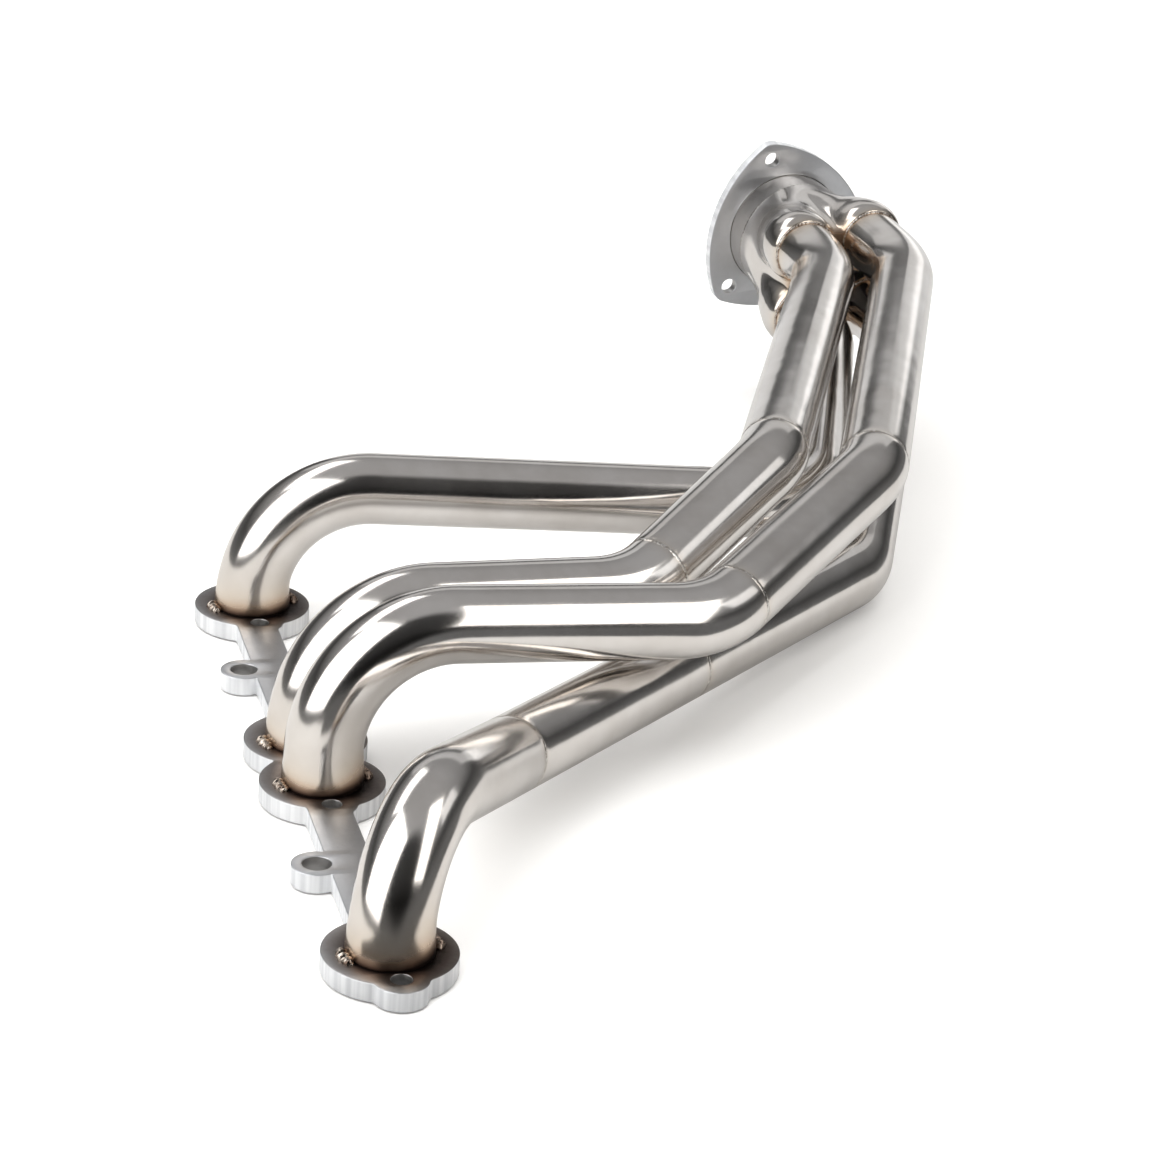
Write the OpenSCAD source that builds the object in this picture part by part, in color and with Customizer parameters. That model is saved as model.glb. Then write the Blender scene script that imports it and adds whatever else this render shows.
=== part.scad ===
// Four-into-one tubular exhaust header: head flange, four bent primary tubes, lobed merge collector.
// Millimetres. Origin on the head-side face, midway between the two middle ports.
// X runs away from the cylinder head along the tube runs, Y along the port line, Z out of the ports.

/* [Primary tubes] */
// Outside diameter of the primary tubes
tube_od = 38.1; // [37:0.1:38.6]
// Wall thickness of the primary tubes
tube_wall = 1.6; // [1.2:0.1:2]
// Centre-line radius of the long bends
bend_r = 60; // [56:1:60]
// Centre-line radius of the bend at the foot of the fourth tube
foot_bend_r = 50; // [46:1:50]
// Centre-line radius of the last bend before the collector
merge_bend_r = 90; // [80:1:94]
// Height by which a butt weld stands proud of the tube
bead_h = 0.6; // [0.4:0.1:1]

/* [Head flange] */
// Distance from an end port to its neighbouring middle port
outer_pitch = 168; // [167:0.5:169]
// Distance between the two middle ports
middle_pitch = 47; // [46.5:0.5:48]
// Thickness of the head flange plate
plate_t = 9.5; // [8:0.5:10]
// Radius of the round pad at each port
pad_r = 30.5; // [29:0.5:32]
// Radius of the small lobe round each in-line bolt hole
lobe_r = 12.5; // [11.5:0.5:13.5]
// Distance from a port centre to its in-line bolt hole
bolt_offset = 25.5; // [25:0.5:27]
// Diameter of the in-line bolt holes
bolt_hole_d = 9.6; // [8.4:0.1:9.8]
// Diameter of the holes in the two side ears
ear_hole_d = 13.6; // [10:0.2:14]
// Distance along the port line from the centre to each ear
ear_y = 107.5; // [100:0.5:115]

/* [Collector] */
// Centre distance between neighbouring tubes in the collector
cell = 45; // [44.5:0.5:46]
// Wall thickness of the collector
collector_wall = 1.8; // [1.6:0.1:2]
// Length of the collector from tube mouths to the flange
collector_len = 82; // [78:1:86]
// Depth that each primary slides into its mouth
insert_d = 15; // [12:1:20]
// Outside diameter of the round collector neck
neck_od = 76.2; // [74:0.1:77]
// Bolt circle diameter of the collector flange
outlet_pcd = 102; // [100:0.5:104]
// Diameter of the collector flange bolt holes
outlet_hole_d = 9.8; // [8:0.1:10.4]
// Thickness of the collector flange
outlet_t = 6.5; // [5:0.5:9.5]

/* [Hidden] */
$fn = 96;

steel = [0.76, 0.76, 0.77];
satin = [0.66, 0.67, 0.69];
bead = [0.52, 0.48, 0.44];

tube_r = tube_od / 2;
bore_r = tube_r - tube_wall;
// Slip fit of a tube in its hole, on the radius
fit_gap = 0.15;
// Gap left at each end of a straight length of tube
joint_gap = 0.06;
// How far a cutter passes beyond the face that it opens
over = 1;
// Height of the tube ends inside the plate, and of the lowest edge of their inner welds
seat_z = 2.5;
seal_z = 0.5;

// Port centres along Y
inner_port = middle_pitch / 2;
end_port = inner_port + outer_pitch;
port_y = [end_port, inner_port, -inner_port, -end_port];

// Collector frame: centre of the flange's tube side, outlet direction, and the two cell directions
outlet_c = [402, 548, 103];
outlet_az = -7;
outlet_el = 5;
outlet_roll = 6;
out_dir = [sin(outlet_az) * cos(outlet_el), cos(outlet_az) * cos(outlet_el), sin(outlet_el)];
level_dir = [cos(outlet_az), -sin(outlet_az), 0];
rise_dir = cross(level_dir, out_dir);
cell_u = cos(outlet_roll) * level_dir + sin(outlet_roll) * rise_dir;
cell_v = cos(outlet_roll) * rise_dir - sin(outlet_roll) * level_dir;
mouth_c = outlet_c - collector_len * out_dir;

// Which cell of the collector each tube fills
cell_sign = [[-1, -1], [-1, 1], [1, 1], [1, -1]];
function mouth(k) = mouth_c + cell / 2 * (cell_sign[k][0] * cell_u + cell_sign[k][1] * cell_v);

// Corners of each tube's centre line, from the port to the end inside the collector
last_leg = [32, 32, 48, 42];
corners = [
    [[303, 175, 62]],
    [[169, 47, 70], [266, 136, 104]],
    [[197, 0, 74], [317, 119, 102]],
    [[80, -72, 42], [337, 180, 20]]
];
riser_h = [78, 80, 90, 76];
function route(k) = concat(
    [[0, port_y[k], seat_z], [0, port_y[k], riser_h[k]]],
    corners[k],
    [mouth(k) - last_leg[k] * out_dir, mouth(k) + insert_d * out_dir]
);
route_1 = route(0);
route_2 = route(1);
route_3 = route(2);
route_4 = route(3);

// The fourth tube has a tight second bend, and a weld part of the way along its long run
kink_r = 30;
ring_at = 0.44;
ring_4 = route_4[2] + ring_at * (route_4[3] - route_4[2]);

function unit(v) = v / norm(v);
function turn(p, i) = acos(unit(p[i] - p[i - 1]) * unit(p[i + 1] - p[i]));
function setback(p, i, r) = r * tan(turn(p, i) / 2);
function bend_in(p, i, r) = p[i] - setback(p, i, r) * unit(p[i] - p[i - 1]);
function bend_out(p, i, r) = p[i] + setback(p, i, r) * unit(p[i + 1] - p[i]);

// Stands its children up along a line, from the first point toward the second
module along(a, b) {
    d = unit(b - a);
    translate(a)
        rotate([0, acos(d[2]), atan2(d[1], d[0])])
            children();
}

// Ring cross-section of a tube, as a flat shape
module wall_section() {
    difference() {
        circle(r = tube_r);
        circle(r = bore_r);
    }
}

// Straight length of tube, left a hair short at both ends so neighbouring lengths only just meet
module straight(a, b) {
    along(a, b)
        translate([0, 0, joint_gap])
            linear_extrude(height = norm(b - a) - 2 * joint_gap)
                wall_section();
}

// Bend of centre-line radius r at corner i of a route
module elbow(p, i, r) {
    u = unit(p[i] - p[i - 1]);
    v = unit(p[i + 1] - p[i]);
    start = bend_in(p, i, r);
    centre = p[i] + r / cos(turn(p, i) / 2) * unit(v - u);
    x = unit(start - centre);
    z = cross(x, u);
    multmatrix([
        [x[0], u[0], z[0], centre[0]],
        [x[1], u[1], z[1], centre[1]],
        [x[2], u[2], z[2], centre[2]],
        [0, 0, 0, 1]
    ])
        rotate_extrude(angle = turn(p, i))
            translate([r, 0])
                wall_section();
}

// ---- Head flange ----

web_w = 21;
web_x = -2;
ear_x = -17.5;
ear_r = 12;
ear_neck_w = 18;

module pad(y) {
    translate([0, y]) {
        circle(r = pad_r);
        for (s = [-1, 1]) {
            translate([0, s * bolt_offset])
                circle(r = lobe_r);
        }
    }
}

module ear(s) {
    translate([ear_x, s * ear_y])
        circle(r = ear_r);
    translate([ear_x, s * ear_y - ear_neck_w / 2])
        square([ear_r, ear_neck_w]);
}

bolt_y = [port_y[0] + bolt_offset, port_y[0] - bolt_offset, port_y[1] + bolt_offset];

module head_flange() {
    color(satin)
    difference() {
        linear_extrude(height = plate_t)
            union() {
                for (y = port_y) {
                    pad(y);
                }
                translate([web_x - web_w / 2, port_y[3]])
                    square([web_w, port_y[0] - port_y[3]]);
                ear(1);
                ear(-1);
            }
        for (y = port_y) {
            translate([0, y, -over])
                cylinder(r = tube_r + fit_gap, h = plate_t + 2 * over);
        }
        for (s = [-1, 1]) {
            for (y = bolt_y) {
                translate([0, s * y, -over])
                    cylinder(d = bolt_hole_d, h = plate_t + 2 * over);
            }
            translate([ear_x, s * ear_y, -over])
                cylinder(d = ear_hole_d, h = plate_t + 2 * over);
        }
    }
}

// ---- Primary tubes ----

module port_tube_1() {
    color(steel)
    union() {
        straight(route_1[0], bend_in(route_1, 1, bend_r));
        elbow(route_1, 1, bend_r);
        straight(bend_out(route_1, 1, bend_r), bend_in(route_1, 2, bend_r));
    }
}

module merge_tube_1() {
    color(steel)
    union() {
        elbow(route_1, 2, bend_r);
        straight(bend_out(route_1, 2, bend_r), bend_in(route_1, 3, merge_bend_r));
        elbow(route_1, 3, merge_bend_r);
        straight(bend_out(route_1, 3, merge_bend_r), route_1[4]);
    }
}

// First piece of a five-leg route: riser, bend, run and second bend
module port_piece(p) {
    color(steel)
    union() {
        straight(p[0], bend_in(p, 1, bend_r));
        elbow(p, 1, bend_r);
        straight(bend_out(p, 1, bend_r), bend_in(p, 2, bend_r));
        elbow(p, 2, bend_r);
    }
}

// Middle piece: slanting leg and third bend
module mid_piece(p) {
    color(steel)
    union() {
        straight(bend_out(p, 2, bend_r), bend_in(p, 3, bend_r));
        elbow(p, 3, bend_r);
    }
}

// Last piece: long leg, wide bend and the end inside the collector
module merge_piece(p) {
    color(steel)
    union() {
        straight(bend_out(p, 3, bend_r), bend_in(p, 4, merge_bend_r));
        elbow(p, 4, merge_bend_r);
        straight(bend_out(p, 4, merge_bend_r), p[5]);
    }
}

module port_tube_2() {
    port_piece(route_2);
}

module mid_tube_2() {
    mid_piece(route_2);
}

module merge_tube_2() {
    merge_piece(route_2);
}

module port_tube_3() {
    port_piece(route_3);
}

module mid_tube_3() {
    mid_piece(route_3);
}

module merge_tube_3() {
    merge_piece(route_3);
}

module port_tube_4() {
    color(steel)
    union() {
        straight(route_4[0], bend_in(route_4, 1, foot_bend_r));
        elbow(route_4, 1, foot_bend_r);
        straight(bend_out(route_4, 1, foot_bend_r), bend_in(route_4, 2, kink_r));
    }
}

module mid_tube_4() {
    color(steel)
    union() {
        elbow(route_4, 2, kink_r);
        straight(bend_out(route_4, 2, kink_r), ring_4);
    }
}

module merge_tube_4() {
    color(steel)
    union() {
        straight(ring_4, bend_in(route_4, 3, bend_r));
        elbow(route_4, 3, bend_r);
        straight(bend_out(route_4, 3, bend_r), bend_in(route_4, 4, merge_bend_r));
        elbow(route_4, 4, merge_bend_r);
        straight(bend_out(route_4, 4, merge_bend_r), route_4[5]);
    }
}

// ---- Butt welds ----

bead_w = 4;
bead_r = (bead_w * bead_w / 4 + bead_h * bead_h) / (2 * bead_h);

// Low rounded ring round a tube of radius r, centred on a point and square to a direction
module ring_weld(at, dir, r) {
    color(bead)
    along(at, at + dir)
        rotate_extrude()
            difference() {
                translate([r + bead_h - bead_r, 0])
                    circle(r = bead_r);
                translate([r - 2 * bead_r, -2 * bead_r])
                    square([2 * bead_r, 4 * bead_r]);
            }
}

module butt_weld_1() {
    ring_weld(bend_in(route_1, 2, bend_r), route_1[2] - route_1[1], tube_r);
}

module butt_weld_2a() {
    ring_weld(bend_out(route_2, 2, bend_r), route_2[3] - route_2[2], tube_r);
}

module butt_weld_2b() {
    ring_weld(bend_out(route_2, 3, bend_r), route_2[4] - route_2[3], tube_r);
}

module butt_weld_3a() {
    ring_weld(bend_out(route_3, 2, bend_r), route_3[3] - route_3[2], tube_r);
}

module butt_weld_3b() {
    ring_weld(bend_out(route_3, 3, bend_r), route_3[4] - route_3[3], tube_r);
}

module butt_weld_4a() {
    ring_weld(bend_in(route_4, 2, kink_r), route_4[2] - route_4[1], tube_r);
}

module butt_weld_4b() {
    ring_weld(ring_4, route_4[3] - route_4[2], tube_r);
}

// ---- Port welds ----

// Tack bead radius, the turn that each bead covers, and the turn of both about the tube
tack_r = 3;
tack_turn = 34;
tack_from = 12;

// Two short beads at the foot of a tube, left and right, on the outer face of the plate
module port_tacks(k) {
    color(bead)
    translate([0, port_y[k], plate_t])
        for (a = [tack_from, tack_from + 180]) {
            rotate([0, 0, a - tack_turn / 2])
                rotate_extrude(angle = tack_turn)
                    difference() {
                        translate([tube_r + tack_r / 2, 0])
                            circle(r = tack_r);
                        translate([tube_r - 2 * tack_r, -2 * tack_r])
                            square([2 * tack_r, 4 * tack_r]);
                        translate([tube_r - tack_r, -2 * tack_r])
                            square([4 * tack_r, 2 * tack_r]);
                    }
        }
}

// Sloping bead inside the plate, from the tube end to the wall of the hole
module port_seal(k) {
    color(bead)
    translate([0, port_y[k], 0])
        rotate_extrude()
            polygon([
                [tube_r + fit_gap, seal_z],
                [tube_r + fit_gap, seat_z],
                [bore_r + tube_wall / 4, seat_z]
            ]);
}

module port_tacks_1() {
    port_tacks(0);
}

module port_tacks_2() {
    port_tacks(1);
}

module port_tacks_3() {
    port_tacks(2);
}

module port_tacks_4() {
    port_tacks(3);
}

module port_seal_1() {
    port_seal(0);
}

module port_seal_2() {
    port_seal(1);
}

module port_seal_3() {
    port_seal(2);
}

module port_seal_4() {
    port_seal(3);
}

// ---- Collector ----

mouth_r = tube_r + fit_gap + collector_wall;
cell_reach = cell / sqrt(2);
lobe_reach = cell_reach + mouth_r;
// Radius of the core between the four lobes at the mouths
waist_r = 33;
neck_r = neck_od / 2;
neck_len = 18;
merge_len = collector_len - neck_len;
// How far the neck end stays short of the outlet face of its flange
neck_recess = 2;

// Collector axes: local Z is the outlet direction, local X and Y are the cell directions
module in_collector(from_mouth) {
    translate(mouth_c + from_mouth * out_dir)
        multmatrix([
            [cell_u[0], -cell_v[0], out_dir[0], 0],
            [cell_u[1], -cell_v[1], out_dir[1], 0],
            [cell_u[2], -cell_v[2], out_dir[2], 0],
            [0, 0, 0, 1]
        ])
            children();
}

// Places children at the four cells
module at_cells() {
    for (s = cell_sign) {
        translate([s[0] * cell / 2, -s[1] * cell / 2, 0])
            children();
    }
}

// Solid of the merge: four lobes drawn in to the neck by a turned outer shape
module merge_solid(shrink, from_z, to_z) {
    intersection() {
        union() {
            at_cells()
                translate([0, 0, from_z])
                    cylinder(r = mouth_r - shrink, h = to_z - from_z);
            translate([0, 0, from_z])
                cylinder(r1 = waist_r - shrink, r2 = neck_r - shrink, h = to_z - from_z);
        }
        rotate_extrude()
            polygon([
                [0, from_z],
                [lobe_reach - shrink, from_z],
                [lobe_reach - shrink, insert_d],
                [neck_r - shrink, merge_len],
                [neck_r - shrink, to_z],
                [0, to_z]
            ]);
    }
}

module collector_body() {
    color(steel)
    in_collector(0)
        difference() {
            merge_solid(0, 0, merge_len);
            merge_solid(collector_wall, insert_d, merge_len + over);
            at_cells()
                translate([0, 0, -over])
                    cylinder(r = tube_r + fit_gap, h = insert_d + 2 * over);
            difference() {
                translate([0, 0, -over])
                    cylinder(r = waist_r - collector_wall, h = insert_d + 2 * over);
                at_cells()
                    translate([0, 0, -2 * over])
                        cylinder(r = mouth_r, h = insert_d + 4 * over);
            }
        }
}

plug_t = 3;

// Plate that closes the gap in the middle of the four tubes
module collector_plug() {
    color(steel)
    in_collector(0)
        translate([0, 0, insert_d / 2])
            difference() {
                cylinder(r = waist_r - collector_wall - fit_gap, h = plug_t);
                at_cells()
                    translate([0, 0, -over])
                        cylinder(r = mouth_r + fit_gap, h = plug_t + 2 * over);
            }
}

module collector_neck() {
    color(steel)
    in_collector(merge_len)
        difference() {
            cylinder(r = neck_r, h = neck_len + outlet_t - neck_recess);
            translate([0, 0, -over])
                cylinder(r = neck_r - collector_wall, h = neck_len + outlet_t + over);
        }
}

fillet_r = 1.6;

// Bead in the corner between the lobes and the round neck
module neck_weld() {
    color(bead)
    in_collector(merge_len)
        rotate_extrude()
            difference() {
                translate([neck_r + fillet_r / 4, fillet_r / 4])
                    circle(r = fillet_r);
                polygon([
                    [0, insert_d - merge_len],
                    [lobe_reach, insert_d - merge_len],
                    [neck_r, 0],
                    [neck_r, neck_len],
                    [0, neck_len]
                ]);
            }
}

// Rounded triangle: corner radius, distance to the middle of a side, turn about the outlet axis
outlet_corner_r = 11;
outlet_side_r = 50.5;
outlet_turn = 101;
// Points per arc of the outline, and the angle that keeps neighbouring arcs from sharing a point
arc_steps = 12;
arc_gap = 1;

// Centre distance and radius of the big arc that is tangent to two corner arcs
corner_c = outlet_pcd / 2;
side_gap = outlet_side_r - outlet_corner_r;
side_c = (corner_c * corner_c - side_gap * side_gap) / (2 * side_gap - corner_c);
side_r = outlet_side_r + side_c;
tangent_a = atan2(side_c * sin(60), corner_c + side_c * cos(60));
function arc(c, r, a0, a1) = [
    for (i = [0 : arc_steps])
        let (a = a0 + (a1 - a0) * i / arc_steps)
            c + r * [cos(a), sin(a)]
];
function corner_arc(a) = arc(
    corner_c * [cos(a), sin(a)], outlet_corner_r, a - tangent_a, a + tangent_a
);
function side_arc(a) = arc(
    -side_c * [cos(a + 60), sin(a + 60)], side_r, a + tangent_a + arc_gap, a + 120 - tangent_a - arc_gap
);
outlet_outline = [for (a = [0, 120, 240]) each concat(corner_arc(a), side_arc(a))];

module collector_flange() {
    color(satin)
    in_collector(collector_len)
        difference() {
            rotate([0, 0, -outlet_turn])
                linear_extrude(height = outlet_t)
                    polygon(outlet_outline);
            translate([0, 0, -over])
                cylinder(r = neck_r + fit_gap, h = outlet_t + 2 * over);
            for (a = [0, 120, 240]) {
                rotate([0, 0, a - outlet_turn])
                    translate([corner_c, 0, -over])
                        cylinder(d = outlet_hole_d, h = outlet_t + 2 * over);
            }
        }
}

// Sloping bead on the outlet side, from the neck end to the wall of the flange
module flange_weld() {
    color(bead)
    in_collector(collector_len + outlet_t - neck_recess)
        rotate_extrude()
            polygon([
                [neck_r + fit_gap, 0],
                [neck_r + fit_gap, fillet_r],
                [neck_r - collector_wall * 3 / 4, 0]
            ]);
}

// Bead round a tube where it enters the collector
module mouth_weld(k) {
    color(bead)
    along(mouth(k), mouth(k) + out_dir)
        rotate_extrude()
            difference() {
                translate([tube_r + fillet_r / 2, 0])
                    circle(r = fillet_r);
                translate([0, -2 * fillet_r])
                    square([tube_r, 4 * fillet_r]);
                square([tube_r + 4 * fillet_r, 4 * fillet_r]);
            }
}

module mouth_weld_1() {
    mouth_weld(0);
}

module mouth_weld_2() {
    mouth_weld(1);
}

module mouth_weld_3() {
    mouth_weld(2);
}

module mouth_weld_4() {
    mouth_weld(3);
}

head_flange();
port_tube_1();
merge_tube_1();
port_tube_2();
mid_tube_2();
merge_tube_2();
port_tube_3();
mid_tube_3();
merge_tube_3();
port_tube_4();
mid_tube_4();
merge_tube_4();
butt_weld_1();
butt_weld_2a();
butt_weld_2b();
butt_weld_3a();
butt_weld_3b();
butt_weld_4a();
butt_weld_4b();
port_tacks_1();
port_tacks_2();
port_tacks_3();
port_tacks_4();
port_seal_1();
port_seal_2();
port_seal_3();
port_seal_4();
mouth_weld_1();
mouth_weld_2();
mouth_weld_3();
mouth_weld_4();
collector_body();
collector_plug();
collector_neck();
neck_weld();
collector_flange();
flange_weld();
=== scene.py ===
"""Looks of a four-into-one tubular exhaust header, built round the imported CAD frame.

The row frame: X along the tube runs, away from the head flange's ears, Y along the port line
toward the outlet, Z out of the ports. Shapes are in millimetres, scaled to metres as each mesh is
made. Materials, floor, lights and camera are in metres.
"""

import math
import random

import bmesh
import bpy
import numpy as np
from mathutils import Matrix, Vector
from mathutils.geometry import tessellate_polygon


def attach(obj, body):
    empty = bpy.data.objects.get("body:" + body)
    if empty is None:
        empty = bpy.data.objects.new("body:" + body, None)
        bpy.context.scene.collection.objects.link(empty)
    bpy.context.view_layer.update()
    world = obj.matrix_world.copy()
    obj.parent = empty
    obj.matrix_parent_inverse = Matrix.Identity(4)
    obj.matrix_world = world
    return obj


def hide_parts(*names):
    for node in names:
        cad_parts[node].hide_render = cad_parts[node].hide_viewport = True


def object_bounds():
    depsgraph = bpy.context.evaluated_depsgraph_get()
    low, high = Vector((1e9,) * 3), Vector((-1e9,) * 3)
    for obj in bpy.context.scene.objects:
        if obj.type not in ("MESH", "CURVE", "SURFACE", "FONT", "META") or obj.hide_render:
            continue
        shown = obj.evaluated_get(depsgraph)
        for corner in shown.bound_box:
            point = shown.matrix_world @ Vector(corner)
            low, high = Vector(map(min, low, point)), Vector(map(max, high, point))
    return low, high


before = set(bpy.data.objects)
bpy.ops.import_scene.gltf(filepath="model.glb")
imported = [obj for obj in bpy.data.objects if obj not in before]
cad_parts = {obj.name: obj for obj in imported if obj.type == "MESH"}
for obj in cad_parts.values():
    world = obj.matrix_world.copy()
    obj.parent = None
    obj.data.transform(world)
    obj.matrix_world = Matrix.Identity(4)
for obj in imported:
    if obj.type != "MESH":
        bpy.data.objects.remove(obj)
CAD_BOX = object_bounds()

MM = 0.001

# ---- Sizes shared with the CAD part ----
TUBE_R = 19.05
BORE_R = 17.45
FIT_GAP = 0.15
BEND_R = 60
FOOT_BEND_R = 50
KINK_R = 30
MERGE_BEND_R = 90
SEAT_Z = 2.5
PLATE_T = 9.5
PORT_Y = [191.5, 23.5, -23.5, -191.5]
CELL = 45
COLLECTOR_WALL = 1.8
COLLECTOR_LEN = 82
INSERT_D = 15
NECK_R = 38.1
NECK_LEN = 18
OUTLET_T = 6.5
OUTLET_PCD = 102
OUTLET_HOLE_D = 9.8
PLUG_T = 3

# Distance along a tube at which it leaves the plate
FOOT_AT = PLATE_T - SEAT_Z
# Middle of the object, in metres
CENTRE = (0.2, 0.16, 0.08)
# Mesh attribute that says how strongly welding has tinted the metal
TINT = "weld_tint"

random.seed(4)


# ---- Collector frame and tube routes, as in the CAD part ----
def unit(v):
    v = np.asarray(v, float)
    return v / np.linalg.norm(v)


OUTLET_C = np.array([402.0, 548.0, 103.0])
OUTLET_AZ, OUTLET_EL, OUTLET_ROLL = (math.radians(a) for a in (-7, 5, 6))
OUT_DIR = np.array([
    math.sin(OUTLET_AZ) * math.cos(OUTLET_EL),
    math.cos(OUTLET_AZ) * math.cos(OUTLET_EL),
    math.sin(OUTLET_EL),
])
LEVEL_DIR = np.array([math.cos(OUTLET_AZ), -math.sin(OUTLET_AZ), 0])
RISE_DIR = np.cross(LEVEL_DIR, OUT_DIR)
CELL_U = math.cos(OUTLET_ROLL) * LEVEL_DIR + math.sin(OUTLET_ROLL) * RISE_DIR
CELL_V = math.cos(OUTLET_ROLL) * RISE_DIR - math.sin(OUTLET_ROLL) * LEVEL_DIR
MOUTH_C = OUTLET_C - COLLECTOR_LEN * OUT_DIR
CELL_SIGN = [(-1, -1), (-1, 1), (1, 1), (1, -1)]
# For each tube: straight before its mouth, height of its first corner, and its other corners
LAST_LEG = [32, 32, 48, 42]
RISER_H = [78, 80, 90, 76]
CORNERS = [
    [(303, 175, 62)],
    [(169, 47, 70), (266, 136, 104)],
    [(197, 0, 74), (317, 119, 102)],
    [(80, -72, 42), (337, 180, 20)],
]
BENDS = [
    [BEND_R, BEND_R, MERGE_BEND_R],
    [BEND_R, BEND_R, BEND_R, MERGE_BEND_R],
    [BEND_R, BEND_R, BEND_R, MERGE_BEND_R],
    [FOOT_BEND_R, KINK_R, BEND_R, MERGE_BEND_R],
]
# Where the weld in tube 4's long run lies, as a share of the run
RING_AT = 0.44


def mouth(k):
    return MOUTH_C + CELL / 2 * (CELL_SIGN[k][0] * CELL_U + CELL_SIGN[k][1] * CELL_V)


def route(k):
    """Corner points of tube k's centre line."""
    start = [(0, PORT_Y[k], SEAT_Z), (0, PORT_Y[k], RISER_H[k])]
    end = [mouth(k) - LAST_LEG[k] * OUT_DIR, mouth(k) + INSERT_D * OUT_DIR]
    return [np.array(p, float) for p in start + CORNERS[k] + end]


class Line:
    """A centre line of straight legs and round bends, read by the distance along it."""

    def __init__(self, corners, radii):
        self.parts = []
        self.bend_start = []
        self.bend_end = []
        at = corners[0]
        length = 0.0
        for i, radius in enumerate(radii, start=1):
            u = unit(corners[i] - corners[i - 1])
            v = unit(corners[i + 1] - corners[i])
            angle = math.acos(float(u @ v))
            setback = radius * math.tan(angle / 2)
            start = corners[i] - setback * u
            leg = float(np.linalg.norm(start - at))
            self.parts.append(("leg", length, leg, at, u))
            length += leg
            self.bend_start.append(length)
            inward = unit(v - u * float(u @ v))
            self.parts.append(("bend", length, radius * angle, start, u, inward, radius))
            length += radius * angle
            self.bend_end.append(length)
            at = corners[i] + setback * v
        leg = float(np.linalg.norm(corners[-1] - at))
        self.parts.append(("leg", length, leg, at, unit(corners[-1] - at)))
        self.length = length + leg

    def at(self, s):
        """Point and direction at distance s."""
        for part in self.parts:
            if s <= part[1] + part[2] or part is self.parts[-1]:
                break
        t = s - part[1]
        if part[0] == "leg":
            return part[3] + t * part[4], part[4]
        _, _, _, start, u, side, radius = part
        a = t / radius
        point = start + radius * (math.sin(a) * u + (1 - math.cos(a)) * side)
        return point, math.cos(a) * u + math.sin(a) * side


LINES = [Line(route(k), BENDS[k]) for k in range(4)]


def ring_distance():
    """How far along tube 4 the weld in its long run lies."""
    before, corner, after = route(3)[1:4]
    turn = math.acos(float(unit(corner - before) @ unit(after - corner)))
    run = float(np.linalg.norm(after - corner))
    return LINES[3].bend_end[1] + RING_AT * run - KINK_R * math.tan(turn / 2)


# Where each tube is welded end to end
SEAMS = [
    [LINES[0].bend_start[1]],
    [LINES[1].bend_end[1], LINES[1].bend_end[2]],
    [LINES[2].bend_end[1], LINES[2].bend_end[2]],
    [LINES[3].bend_start[1], ring_distance()],
]


# ---- Mesh helpers ----
def smoothstep(a, b, x):
    t = np.clip((np.asarray(x, float) - a) / (b - a), 0, 1)
    return t * t * (3 - 2 * t)


def square_to(axis):
    """A unit vector square to the axis, level unless the axis is nearly upright."""
    other = (0.0, 0.0, 1.0) if abs(axis[2]) < 0.9 else (0.0, 1.0, 0.0)
    return unit(np.cross(axis, other))


def place(name, mesh, nodes):
    """Put a mesh in the scene, riding on the root body and standing for its CAD nodes."""
    obj = bpy.data.objects.new(name, mesh)
    bpy.context.scene.collection.objects.link(obj)
    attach(obj, "root")
    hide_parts(*nodes)


def make_piece(name, verts, faces, nodes, materials, face_material=None, sharp=40, heat=None):
    """A piece from millimetre points. Edges sharper than the angle in degrees stay crisp."""
    mesh = bpy.data.meshes.new(name)
    mesh.from_pydata([tuple(float(c) * MM for c in v) for v in verts], [], [tuple(f) for f in faces])
    mesh.validate()
    for m in materials:
        mesh.materials.append(m)
    if face_material is not None:
        mesh.polygons.foreach_set("material_index", np.array(face_material, np.int32))
    mesh.polygons.foreach_set("use_smooth", np.ones(len(mesh.polygons), bool))
    if sharp:
        mesh.set_sharp_from_angle(angle=math.radians(sharp))
    if heat is not None:
        attribute = mesh.attributes.new(TINT, "FLOAT", "POINT")
        attribute.data.foreach_set("value", np.array(heat, np.float32))
    mesh.update()
    place(name, mesh, nodes)


def grid_faces(rows, cols, base=0, closed_rows=False, flip=False):
    """Quads of a grid that closes round its columns."""
    faces = []
    for i in range(rows if closed_rows else rows - 1):
        for j in range(cols):
            a = base + i * cols + j
            b = base + i * cols + (j + 1) % cols
            c = base + ((i + 1) % rows) * cols + (j + 1) % cols
            d = base + ((i + 1) % rows) * cols + j
            faces.append((a, d, c, b) if flip else (a, b, c, d))
    return faces


def carried_frames(line, distances):
    """Two directions square to the line at each distance, turned as little as possible on the way."""
    side = square_to(line.at(distances[0])[1])
    frames = []
    for s in distances:
        point, d = line.at(s)
        side = unit(side - d * float(side @ d))
        frames.append((point, d, side, np.cross(d, side)))
    return frames


# ---- Primary tubes ----
# A tube is this much wider at the plate, and narrows to its own size over this length
FOOT_FLARE = 0.9
FOOT_FLARE_LEN = 20
# The widening starts and is full at these distances from the plate's outer face
FLARE_START = -0.4
FLARE_FULL = 0.2
# Depth and length of the shallow waist where two lengths are welded
SEAM_DIP = 0.16
SEAM_DIP_LEN = 2.4
# Tint beside a weld: how strong, and the length over which it fades. At the plate it reaches further on
# the +X side, wanders a little, and ends in a long faint straw tint
FOOT_TINT = 0.95
FOOT_FADE = 4.2
FOOT_FADE_SIDE = 4.5
FOOT_FADE_WAVE = 0.5
STRAW_TINT = 0.10
STRAW_FADE = 24
MOUTH_TINT = 0.45
MOUTH_FADE = 4.5
SEAM_TINT = 0.13
SEAM_FADE = 2.5
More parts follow.
